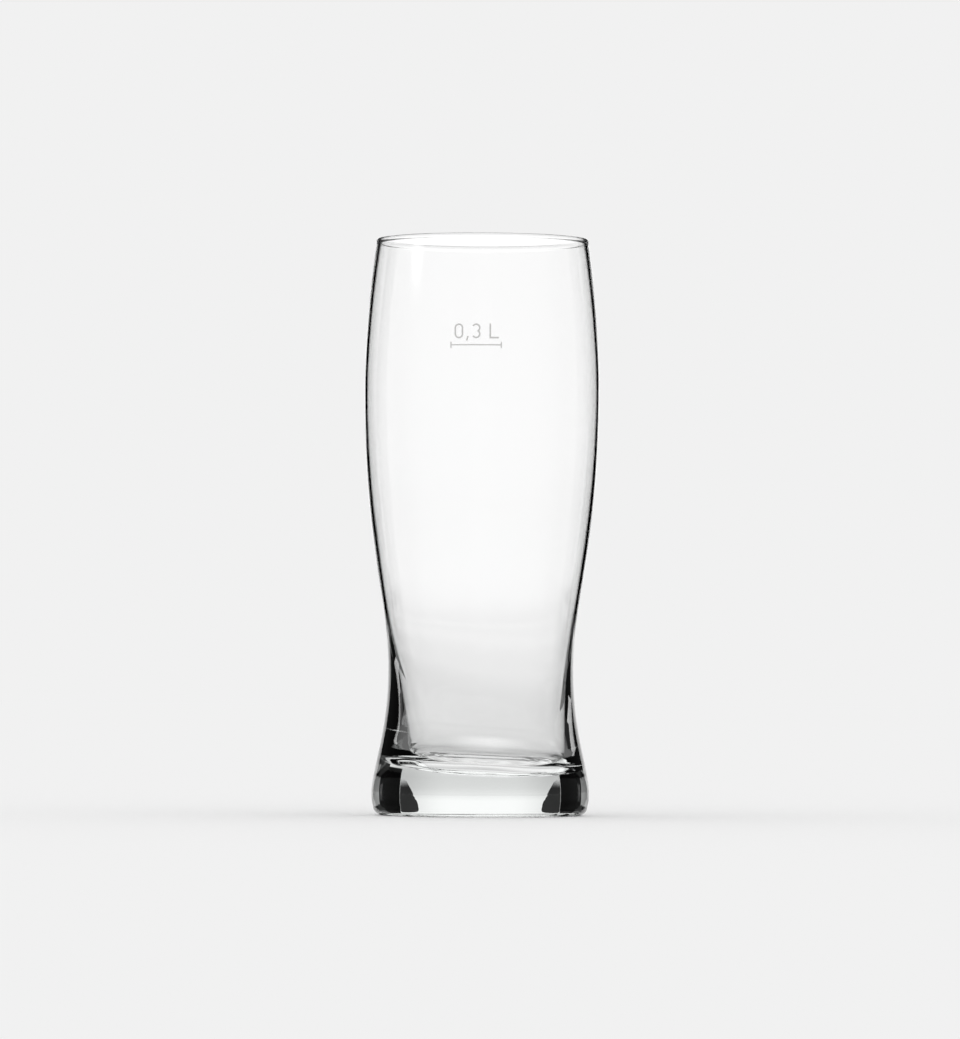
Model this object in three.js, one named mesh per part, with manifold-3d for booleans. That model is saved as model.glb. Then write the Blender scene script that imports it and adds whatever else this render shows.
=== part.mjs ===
// Waisted beer tumbler: a clear glass body with a heavy foot, and a fired enamel fill mark on its front.
// Millimetres, +Z up. The origin is the centre of the ring that the glass stands on. The front faces -Y.

import * as THREE from 'three';
import { mergeVertices } from 'three/addons/utils/BufferGeometryUtils.js';
import Module from 'manifold-3d';

const wasm = await Module();
wasm.setup();

// Outer wall, at the lip and at each place where it stands upright
const HEIGHT = 164; // table to the top of the lip
const RIM_RADIUS = 30.2; // outside, where the wall meets the lip
const RIM_LEAN = 0.18; // how far the wall leans in at the rim, per unit of height
const BELLY_RADIUS = 33.45;
const BELLY_DROP = 42.7; // belly below the top of the lip
const WAIST_RADIUS = 26.3;
const WAIST_HEIGHT = 41.7;
const FOOT_RADIUS = 30.95;
const FOOT_HEIGHT = 6.5; // where the foot is widest
const FOOT_TUCK = 0.45; // how far the wall draws in below that
const CORNER_ROUND = 2.6; // rounding of the lower corner

// Underside: a flat ring to stand on, round a shallow hollow
const RING_WIDTH = 3;
const HOLLOW_DEPTH = 1.6;

// Glass thickness
const WALL = 1.2; // at the lip
const BELLY_WALL = 0.75; // at the belly, where the glass was blown thinnest
const LIP_BEAD = 0.3; // how much thicker the flame leaves the lip
const WELL_WALL = 3.6; // from the waist's outside in to the side of the well
const FLOOR_HEIGHT = 9.3; // middle of the well's floor above the table
const FLOOR_DISH = 2; // rise of the floor from its middle to its edge
const WELL_ROUND = 6; // rounding between the floor and the side of the well

// The well settled to one side while the glass was soft, so its floor slopes down towards +X
const WELL_DRIFT = 1.3; // sideways shift of the floor
const FLOOR_SLOPE = 0.045; // fall of the floor, per unit of width
const DRIFT_RISE = 46; // height above the floor at which the shift has died out

// Enamel fill mark
const FILL_DROP = 31.7; // fill line below the top of the lip
const MARK_SHIFT = -1.7; // middle of the mark from the front, along the wall
const LINE_LENGTH = 14.5;
const LINE_STROKE = 0.35;
const TICK_HEIGHT = 1.75;
const FIGURE_RISE = 1.8; // foot of the figures above the fill line
const FIGURE_HEIGHT = 4.2;
const FIGURE_STROKE = 0.46;
const ZERO_WIDTH = 2.5;
const LITRE_WIDTH = 2.65;
const COMMA_LENGTH = 1.3;
const COMMA_TAIL = 0.22; // how far its lower end leans to the left
const THREE_OPEN = 150; // where its bowls begin and end, degrees from the right
const THREE_MEET = 60; // where they meet
const ZERO_OFFSET = -4.85; // middle of each figure from the middle of the line
const COMMA_OFFSET = -2.45;
const THREE_OFFSET = 0;
const LITRE_OFFSET = 5.05;
const FILM = 0.15; // thickness of the enamel
const FILM_CLEARANCE = 0.1; // between the enamel and the wall

// Fineness of the facets
const TURN_STEPS = 56;
const CURVE_STEPS = 9;
const ARC_STEPS = 5;
const LIP_STEPS = 4; // on each side of its top
const FIGURE_ARC_STEPS = 8;
const LINE_STEPS = 12;
const SHORT_STEPS = 2;

// How far each curve runs on upright past the place it starts from, as a share of its height
const FOOT_EASE = 0.2;
const WAIST_EASE_DOWN = 0.52;
const WAIST_EASE_UP = 0.24;
const BELLY_EASE_DOWN = 0.57;
const BELLY_EASE_UP = 0.38;
const RIM_EASE = 0.12;
const WELL_EASE_UP = 0.12; // of the height from waist to belly, above the waist

const bellyHeight = HEIGHT - BELLY_DROP;

// Lip: most of a circle, set on the middle of the leaning wall
const leanAngle = Math.atan(RIM_LEAN);
const lipRadius = (WALL + LIP_BEAD) / 2;
const lipWrap = Math.acos(WALL / (WALL + LIP_BEAD));
const lipStart = leanAngle - lipWrap;
const lipTop = Math.PI / 2;
const lipEnd = leanAngle + Math.PI + lipWrap;
const lipCentre = new THREE.Vector2(RIM_RADIUS - WALL / 2, HEIGHT - lipRadius);
const lipArc = (from, to) => new THREE.EllipseCurve(
  lipCentre.x, lipCentre.y, lipRadius, lipRadius, from, to,
);
const outerLip = lipArc(lipStart, lipTop);
const innerLip = lipArc(lipTop, lipEnd);

// A wall curve between two places, each with the direction that the wall has there
function wallCurve(from, fromDirection, fromEase, to, toDirection, toEase) {
  const rise = Math.abs(to.y - from.y);
  return new THREE.CubicBezierCurve(
    from,
    from.clone().addScaledVector(fromDirection, rise * fromEase),
    to.clone().addScaledVector(toDirection, -rise * toEase),
    to,
  );
}

const UP = new THREE.Vector2(0, 1);
const DOWN = new THREE.Vector2(0, -1);
const ALONG_RIM = new THREE.Vector2(-RIM_LEAN, 1);
const BACK_DOWN_RIM = new THREE.Vector2(RIM_LEAN, -1);

// Half section from the middle of the underside, up the outside to the lip: x is radius, y is height
function outerSection() {
  const cornerRadius = FOOT_RADIUS - FOOT_TUCK;
  const ringOuter = cornerRadius - CORNER_ROUND;
  const ringInner = ringOuter - RING_WIDTH;
  const corner = new THREE.Vector2(cornerRadius, CORNER_ROUND);
  const foot = new THREE.Vector2(FOOT_RADIUS, FOOT_HEIGHT);
  const waist = new THREE.Vector2(WAIST_RADIUS, WAIST_HEIGHT);
  const belly = new THREE.Vector2(BELLY_RADIUS, bellyHeight);
  const hollow = new THREE.QuadraticBezierCurve(
    new THREE.Vector2(0, HOLLOW_DEPTH),
    new THREE.Vector2(ringInner / 2, HOLLOW_DEPTH),
    new THREE.Vector2(ringInner, 0),
  );
  const bottomCorner = new THREE.EllipseCurve(
    ringOuter, CORNER_ROUND, CORNER_ROUND, CORNER_ROUND, -Math.PI / 2, 0,
  );
  const tuck = new THREE.QuadraticBezierCurve(
    corner,
    new THREE.Vector2(FOOT_RADIUS, (CORNER_ROUND + FOOT_HEIGHT) / 2),
    foot,
  );
  return [
    ...hollow.getPoints(ARC_STEPS),
    ...bottomCorner.getPoints(ARC_STEPS),
    ...tuck.getPoints(SHORT_STEPS).slice(1),
    ...wallCurve(foot, UP, FOOT_EASE, waist, UP, WAIST_EASE_DOWN).getPoints(CURVE_STEPS).slice(1),
    ...wallCurve(waist, UP, WAIST_EASE_UP, belly, UP, BELLY_EASE_DOWN).getPoints(CURVE_STEPS).slice(1),
    ...wallCurve(belly, UP, BELLY_EASE_UP, outerLip.getPoint(0), ALONG_RIM, RIM_EASE)
      .getPoints(CURVE_STEPS).slice(1),
  ];
}

// Half section over the lip and down the inside to the middle of the floor
function innerSection() {
  const wellRadius = WAIST_RADIUS - WELL_WALL;
  const floorEdge = FLOOR_HEIGHT + FLOOR_DISH;
  const floorRadius = wellRadius - WELL_ROUND;
  const belly = new THREE.Vector2(BELLY_RADIUS - BELLY_WALL, bellyHeight);
  const well = new THREE.Vector2(wellRadius, floorEdge + WELL_ROUND);
  const span = bellyHeight - WAIST_HEIGHT;
  const lowerWall = new THREE.CubicBezierCurve(
    belly,
    new THREE.Vector2(belly.x, bellyHeight - BELLY_EASE_DOWN * span),
    new THREE.Vector2(well.x, WAIST_HEIGHT + WELL_EASE_UP * span),
    well,
  );
  const wellCorner = new THREE.EllipseCurve(
    floorRadius, floorEdge + WELL_ROUND, WELL_ROUND, WELL_ROUND, 0, -Math.PI / 2, true,
  );
  const floor = new THREE.QuadraticBezierCurve(
    new THREE.Vector2(floorRadius, floorEdge),
    new THREE.Vector2(floorRadius / 2, FLOOR_HEIGHT),
    new THREE.Vector2(0, FLOOR_HEIGHT),
  );
  return [
    ...outerLip.getPoints(LIP_STEPS).slice(1),
    ...innerLip.getPoints(LIP_STEPS).slice(1),
    ...wallCurve(innerLip.getPoint(1), BACK_DOWN_RIM, RIM_EASE, belly, DOWN, BELLY_EASE_UP)
      .getPoints(CURVE_STEPS).slice(1),
    ...lowerWall.getPoints(CURVE_STEPS).slice(1),
    ...wellCorner.getPoints(ARC_STEPS).slice(1),
    ...floor.getPoints(ARC_STEPS).slice(1),
  ];
}

const outer = outerSection();
const inner = innerSection();

// Shifts and tips the lower inside wall and the floor, as the soft well settled
function settleWell(position, sectionLength) {
  for (let i = 0; i < position.count; i += 1) {
    const isInside = i % sectionLength >= outer.length;
    const height = position.getZ(i);
    const share = 1 - THREE.MathUtils.smoothstep(height, FLOOR_HEIGHT, FLOOR_HEIGHT + DRIFT_RISE);
    if (isInside && share > 0) {
      const x = position.getX(i);
      position.setX(i, x + WELL_DRIFT * share);
      position.setZ(i, height - FLOOR_SLOPE * x * share);
    }
  }
}

function tumblerGeometry() {
  const section = [...outer, ...inner];
  const geometry = new THREE.LatheGeometry(section, TURN_STEPS);
  geometry.rotateX(Math.PI / 2);
  settleWell(geometry.attributes.position, section.length);
  geometry.computeVertexNormals();
  return geometry;
}

// Outside radius of the wall at a height above the foot
function wallRadiusAt(height) {
  const above = outer.findIndex((point) => point.y > FOOT_HEIGHT && point.y >= height);
  const [low, high] = [outer[above - 1], outer[above]];
  return THREE.MathUtils.mapLinear(height, low.y, high.y, low.x, high.x);
}

// Place on the front wall: across runs along the wall from the middle of the mark, up from the fill line
function onWall(across, up, lift) {
  const height = HEIGHT - FILL_DROP + up;
  const wall = wallRadiusAt(height);
  const turn = (MARK_SHIFT + across) / wall;
  const radius = wall + FILM_CLEARANCE + lift;
  return [radius * Math.sin(turn), -radius * Math.cos(turn), height];
}

// Half width of a stroke at one of its points, turned and stretched to mitre the bend there
function strokeSide(points, i, width, isClosed) {
  const count = points.length;
  const before = points[i > 0 || isClosed ? (i + count - 1) % count : 0];
  const after = points[i < count - 1 || isClosed ? (i + 1) % count : count - 1];
  const into = points[i].clone().sub(before).normalize();
  const out = after.clone().sub(points[i]).normalize();
  const along = into.clone().add(out).normalize();
  const side = new THREE.Vector2(-along.y, along.x);
  const run = into.lengthSq() > 0 ? into : out;
  const mitre = side.x * -run.y + side.y * run.x;
  return side.multiplyScalar(width / 2 / mitre);
}

// Enamel stroke along a line of points, wrapped on the wall as one closed band
function strokeGeometry(points, width, isClosed = false) {
  const vertices = [];
  const triangles = [];
  const count = points.length;
  points.forEach((point, i) => {
    const side = strokeSide(points, i, width, isClosed);
    for (const [across, lift] of [[-1, 0], [1, 0], [1, FILM], [-1, FILM]]) {
      vertices.push(...onWall(point.x + across * side.x, point.y + across * side.y, lift));
    }
  });
  const bands = isClosed ? count : count - 1;
  for (let i = 0; i < bands; i += 1) {
    const here = 4 * i;
    const next = 4 * ((i + 1) % count);
    for (let k = 0; k < 4; k += 1) {
      const l = (k + 1) % 4;
      triangles.push(here + k, here + l, next + l, here + k, next + l, next + k);
    }
  }
  if (!isClosed) {
    const end = 4 * (count - 1);
    triangles.push(0, 3, 2, 0, 2, 1);
    triangles.push(end, end + 1, end + 2, end, end + 2, end + 3);
  }
  const geometry = new THREE.BufferGeometry();
  geometry.setAttribute('position', new THREE.Float32BufferAttribute(vertices, 3));
  geometry.setIndex(triangles);
  geometry.computeVertexNormals();
  return geometry;
}

// Closed geometries joined into one body
function joinGeometries(geometries) {
  const solids = geometries.map((geometry) => {
    const bare = geometry.clone();
    bare.deleteAttribute('normal');
    const merged = mergeVertices(bare);
    return new wasm.Manifold(new wasm.Mesh({
      numProp: 3,
      vertProperties: new Float32Array(merged.attributes.position.array),
      triVerts: new Uint32Array(merged.index.array),
    }));
  });
  const mesh = solids.reduce((sum, solid) => sum.add(solid)).getMesh();
  const geometry = new THREE.BufferGeometry();
  geometry.setAttribute('position', new THREE.BufferAttribute(mesh.vertProperties, 3));
  geometry.setIndex(new THREE.BufferAttribute(mesh.triVerts, 1));
  geometry.computeVertexNormals();
  return geometry;
}

// Evenly spaced points on a straight stroke
function straight(from, to, steps) {
  return new THREE.LineCurve(from, to).getPoints(steps);
}

function fillLineGeometry() {
  const end = LINE_LENGTH / 2;
  const tickPlace = end - LINE_STROKE / 2;
  const line = straight(new THREE.Vector2(-end, 0), new THREE.Vector2(end, 0), LINE_STEPS);
  const ticks = [-tickPlace, tickPlace].map((across) => straight(
    new THREE.Vector2(across, -TICK_HEIGHT / 2),
    new THREE.Vector2(across, TICK_HEIGHT / 2),
    SHORT_STEPS,
  ));
  return joinGeometries([line, ...ticks].map((points) => strokeGeometry(points, LINE_STROKE)));
}

// Middles of the figures' lowest and highest strokes, above the fill line
const figureLow = FIGURE_RISE + FIGURE_STROKE / 2;
const figureHigh = FIGURE_RISE + FIGURE_HEIGHT - FIGURE_STROKE / 2;

// 0: two half circles joined by straight sides
function zeroGeometry() {
  const radius = (ZERO_WIDTH - FIGURE_STROKE) / 2;
  const top = new THREE.EllipseCurve(ZERO_OFFSET, figureHigh - radius, radius, radius, 0, Math.PI);
  const bottom = new THREE.EllipseCurve(
    ZERO_OFFSET, figureLow + radius, radius, radius, Math.PI, 2 * Math.PI,
  );
  const points = [...top.getPoints(FIGURE_ARC_STEPS), ...bottom.getPoints(FIGURE_ARC_STEPS)];
  return strokeGeometry(points, FIGURE_STROKE, true);
}

// 3: two equal bowls that meet in a point at the right of the middle
function threeGeometry() {
  const open = THREE.MathUtils.degToRad(THREE_OPEN);
  const meet = THREE.MathUtils.degToRad(THREE_MEET);
  const radius = (figureHigh - figureLow) / (2 + 2 * Math.sin(meet));
  const upper = new THREE.EllipseCurve(
    THREE_OFFSET, figureHigh - radius, radius, radius, open, -meet, true,
  );
  const lower = new THREE.EllipseCurve(
    THREE_OFFSET, figureLow + radius, radius, radius, meet, -open, true,
  );
  const points = [
    ...upper.getPoints(FIGURE_ARC_STEPS),
    ...lower.getPoints(FIGURE_ARC_STEPS).slice(1),
  ];
  return strokeGeometry(points, FIGURE_STROKE);
}

// Comma: a short upright stroke with a tail that bends to the left
function commaGeometry() {
  const top = figureLow + FIGURE_STROKE / 2;
  const points = [
    new THREE.Vector2(COMMA_OFFSET, top),
    new THREE.Vector2(COMMA_OFFSET, top - COMMA_LENGTH / 2),
    new THREE.Vector2(COMMA_OFFSET - COMMA_TAIL, top - COMMA_LENGTH),
  ];
  return strokeGeometry(points, FIGURE_STROKE);
}

// L: an upright and a foot
function litreGeometry() {
  const half = (LITRE_WIDTH - FIGURE_STROKE) / 2;
  const points = [
    new THREE.Vector2(LITRE_OFFSET - half, figureHigh + FIGURE_STROKE / 2),
    new THREE.Vector2(LITRE_OFFSET - half, figureLow),
    new THREE.Vector2(LITRE_OFFSET + half + FIGURE_STROKE / 2, figureLow),
  ];
  return strokeGeometry(points, FIGURE_STROKE);
}

const clearGlass = new THREE.MeshStandardMaterial({
  color: 0xeef2f0, roughness: 0.02, metalness: 0, transparent: true, opacity: 0.35,
});
const firedEnamel = new THREE.MeshStandardMaterial({ color: 0xc4c4c2, roughness: 0.45, metalness: 0 });

const tumbler = new THREE.Group();

function addPiece(name, geometry, material) {
  const mesh = new THREE.Mesh(geometry, material.clone());
  mesh.name = name;
  tumbler.add(mesh);
}

addPiece('tumbler_body', tumblerGeometry(), clearGlass);
addPiece('fill_line', fillLineGeometry(), firedEnamel);
addPiece('capacity_zero', zeroGeometry(), firedEnamel);
addPiece('capacity_comma', commaGeometry(), firedEnamel);
addPiece('capacity_three', threeGeometry(), firedEnamel);
addPiece('capacity_litre', litreGeometry(), firedEnamel);

export default tumbler;
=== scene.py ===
"""Waisted beer tumbler of clear glass with a fired enamel fill mark, in a small bright-field studio.

Metres, +Z up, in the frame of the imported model. The front, with the fill mark, faces -Y.
"""

import logging
import math
from bisect import bisect_right
from dataclasses import dataclass, field, replace
from enum import Enum
from itertools import pairwise

import bpy
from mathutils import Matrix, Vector, noise


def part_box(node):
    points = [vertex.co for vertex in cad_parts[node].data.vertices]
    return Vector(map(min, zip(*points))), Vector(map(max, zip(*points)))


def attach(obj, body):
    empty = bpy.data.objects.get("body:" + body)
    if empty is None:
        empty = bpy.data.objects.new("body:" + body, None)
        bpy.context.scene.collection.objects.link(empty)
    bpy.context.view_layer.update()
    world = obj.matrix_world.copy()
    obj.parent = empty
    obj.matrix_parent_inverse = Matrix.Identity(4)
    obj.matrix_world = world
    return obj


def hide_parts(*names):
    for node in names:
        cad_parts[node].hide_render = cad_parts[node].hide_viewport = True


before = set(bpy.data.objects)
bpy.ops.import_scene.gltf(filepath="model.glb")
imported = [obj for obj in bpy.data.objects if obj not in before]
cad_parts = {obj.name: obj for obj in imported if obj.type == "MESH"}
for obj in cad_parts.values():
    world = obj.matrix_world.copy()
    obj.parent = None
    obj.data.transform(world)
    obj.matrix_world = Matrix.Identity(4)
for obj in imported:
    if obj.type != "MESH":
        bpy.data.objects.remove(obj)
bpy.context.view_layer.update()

LOG = logging.getLogger("tumbler")
MM = 0.001
BODY = "root"
WELD = 0.001 * MM

# Light that is reflected more often than this inside the glass ends there.
# It keeps the dark band of the lower wall whole.
MIRROR_BOUNCES = 4
GLASS_BOUNCES = 24

Point = tuple[float, float]
Place = tuple[float, float, float]
Outline = tuple[Point, ...]


# Small helpers for meshes and materials


def srgb(code: str) -> tuple[float, float, float, float]:
    """Turns an sRGB hex colour into linear light.

    Args:
        code: Six hex digits, such as "C4C4C2".

    Returns:
        Linear red, green and blue, and an alpha of 1.
    """
    channels = [int(code[i : i + 2], 16) / 255 for i in (0, 2, 4)]
    linear = [c / 12.92 if c <= 0.04045 else ((c + 0.055) / 1.055) ** 2.4 for c in channels]
    return (*linear, 1.0)


def bezier(start: Point, leave: Point, arrive: Point, end: Point, steps: int) -> list[Point]:
    """Samples a cubic curve, without its first point.

    Args:
        start: First end of the curve.
        leave: Handle of the first end.
        arrive: Handle of the second end.
        end: Second end of the curve.
        steps: How many points to give.

    Returns:
        Points from just after the start to the end.
    """
    points = []
    for i in range(1, steps + 1):
        t = i / steps
        shares = ((1 - t) ** 3, 3 * t * (1 - t) ** 2, 3 * t * t * (1 - t), t**3)
        corners = (start, leave, arrive, end)
        points.append(tuple(sum(s * c[k] for s, c in zip(shares, corners)) for k in (0, 1)))
    return points


def arc(centre: Point, radius: float, begin: float, finish: float, steps: int) -> list[Point]:
    """Samples a circular arc, without its first point.

    Args:
        centre: Middle of the circle.
        radius: Radius of the circle.
        begin: First angle, in radians from the first axis.
        finish: Last angle, in radians.
        steps: How many points to give.

    Returns:
        Points from just after the first angle to the last.
    """
    turns = (begin + (finish - begin) * i / steps for i in range(1, steps + 1))
    return [(centre[0] + radius * math.cos(a), centre[1] + radius * math.sin(a)) for a in turns]


def smooth_share(value: float, low: float, high: float) -> float:
    """Gives 0 below low, 1 above high and an S-shaped rise between them."""
    t = min(max((value - low) / (high - low), 0.0), 1.0)
    return t * t * (3 - 2 * t)


def start_vertex(name: str, place: Vector) -> bpy.types.Object:
    """Starts a piece as one selected vertex, in edit mode.

    Args:
        name: Name of the piece.
        place: Where the vertex is.

    Returns:
        The new object, in edit mode.
    """
    bpy.ops.object.select_all(action="DESELECT")
    bpy.ops.mesh.primitive_plane_add(size=2 * MM, location=(0, 0, 0))
    piece = bpy.context.object
    piece.name = piece.data.name = name
    bpy.ops.object.mode_set(mode="EDIT")
    bpy.ops.mesh.select_all(action="SELECT")
    bpy.ops.mesh.merge(type="CENTER")
    bpy.ops.transform.translate(value=place)
    return piece


def extrude_by(step: Vector) -> None:
    """Extrudes what is selected and moves the new end by a step."""
    bpy.ops.mesh.extrude_region_move(TRANSFORM_OT_translate={"value": step})


def close_mesh() -> None:
    """Merges doubles, turns all faces outwards and leaves edit mode."""
    bpy.ops.mesh.select_all(action="SELECT")
    bpy.ops.mesh.remove_doubles(threshold=WELD)
    bpy.ops.mesh.normals_make_consistent(inside=False)
    bpy.ops.object.mode_set(mode="OBJECT")


def apply_modifier(piece: bpy.types.Object, kind: str, **settings: object) -> None:
    """Adds a modifier to a piece, sets it and applies it.

    Args:
        piece: The object to change.
        kind: Blender's name for the kind of modifier.
        **settings: The modifier's own settings.
    """
    modifier = piece.modifiers.new(kind.lower(), kind)
    for key, value in settings.items():
        setattr(modifier, key, value)
    bpy.context.view_layer.objects.active = piece
    bpy.ops.object.modifier_apply(modifier=modifier.name)


def add_node(
    tree: bpy.types.NodeTree, kind: str, inputs: dict | None = None, **settings: object
) -> bpy.types.Node:
    """Adds a node to a material or world, with its settings and links.

    Args:
        tree: Node tree to add to.
        kind: Blender's type name of the node.
        inputs: Input name or index to a plain value, or to a socket to link from.
        **settings: Properties of the node itself.

    Returns:
        The new node.
    """
    node = tree.nodes.new(kind)
    for key, value in settings.items():
        setattr(node, key, value)
    for key, value in (inputs or {}).items():
        if isinstance(value, bpy.types.NodeSocket):
            tree.links.new(value, node.inputs[key])
        else:
            node.inputs[key].default_value = value
    return node


def new_material(name: str) -> tuple[bpy.types.Material, bpy.types.NodeTree]:
    """Makes an empty node material.

    Args:
        name: Name of the material.

    Returns:
        The material and its node tree.
    """
    material = bpy.data.materials.new(name)
    material.use_nodes = True
    material.node_tree.nodes.clear()
    return material, material.node_tree


# Finishes of the object


@dataclass(frozen=True)
class SodaLimeGlass:
    """Clear soda-lime glass, pressed and blown, then fire-polished: it bends light and hardly tints it."""

    colour: str = "FFFFFF"
    ior: float = 1.52
    roughness: float = 0.0
    depth_colour: str = "F7F9F8"
    depth_density: float = 20.0
    ripple_mm: float = 14.0
    ripple_detail: float = 1.0
    ripple_strength: float = 0.02

    def material(self) -> bpy.types.Material:
        """Builds the glass: a smooth refracting surface with the faint waves that a mould leaves.

        Returns:
            The material.
        """
        material, tree = new_material("soda_lime_glass_fire_polished")
        place = add_node(tree, "ShaderNodeTexCoord")
        waves = add_node(
            tree,
            "ShaderNodeTexNoise",
            {
                "Vector": place.outputs["Object"],
                "Scale": 1 / (self.ripple_mm * MM),
                "Detail": self.ripple_detail,
            },
        )
        bump = add_node(
            tree,
            "ShaderNodeBump",
            {"Strength": self.ripple_strength, "Distance": MM, "Height": waves.outputs[0]},
        )
        shader = add_node(
            tree,
            "ShaderNodeBsdfPrincipled",
            {
                "Base Color": srgb(self.colour),
                "Roughness": self.roughness,
                "IOR": self.ior,
                "Transmission Weight": 1.0,
                "Normal": bump.outputs["Normal"],
            },
        )
        depth = add_node(
            tree,
            "ShaderNodeVolumeAbsorption",
            {"Color": srgb(self.depth_colour), "Density": self.depth_density},
        )
        add_node(
            tree,
            "ShaderNodeOutputMaterial",
            {"Surface": shader.outputs[0], "Volume": depth.outputs[0]},
        )
        return material


@dataclass(frozen=True)
class FiredEnamel:
    """Screen-printed glass enamel, fired on: a satin grey film, a little thin and grainy in places."""

    colour: str = "C4C4C2"
    thin_colour: str = "D2D2D0"
    ior: float = 1.5
    roughness: float = 0.45
    roughness_spread: float = 0.08
    grain_mm: float = 0.25
    grain_detail: float = 3.0

    def material(self) -> bpy.types.Material:
        """Builds the enamel, with a grain that varies its tone and its gloss.

        Returns:
            The material.
        """
        material, tree = new_material("fired_ceramic_enamel")
        place = add_node(tree, "ShaderNodeTexCoord")
        grain = add_node(
            tree,
            "ShaderNodeTexNoise",
            {
                "Vector": place.outputs["Object"],
                "Scale": 1 / (self.grain_mm * MM),
                "Detail": self.grain_detail,
            },
        )
        tone = add_node(tree, "ShaderNodeValToRGB", {"Fac": grain.outputs[0]})
        tone.color_ramp.elements[0].color = srgb(self.colour)
        tone.color_ramp.elements[1].color = srgb(self.thin_colour)
        gloss = add_node(
            tree,
            "ShaderNodeMapRange",
            {
                "Value": grain.outputs[0],
                "To Min": self.roughness - self.roughness_spread,
                "To Max": self.roughness + self.roughness_spread,
            },
        )
        shader = add_node(
            tree,
            "ShaderNodeBsdfPrincipled",
            {"Base Color": tone.outputs["Color"], "Roughness": gloss.outputs[0], "IOR": self.ior},
        )
        add_node(tree, "ShaderNodeOutputMaterial", {"Surface": shader.outputs[0]})
        return material


# The glass body


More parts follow.
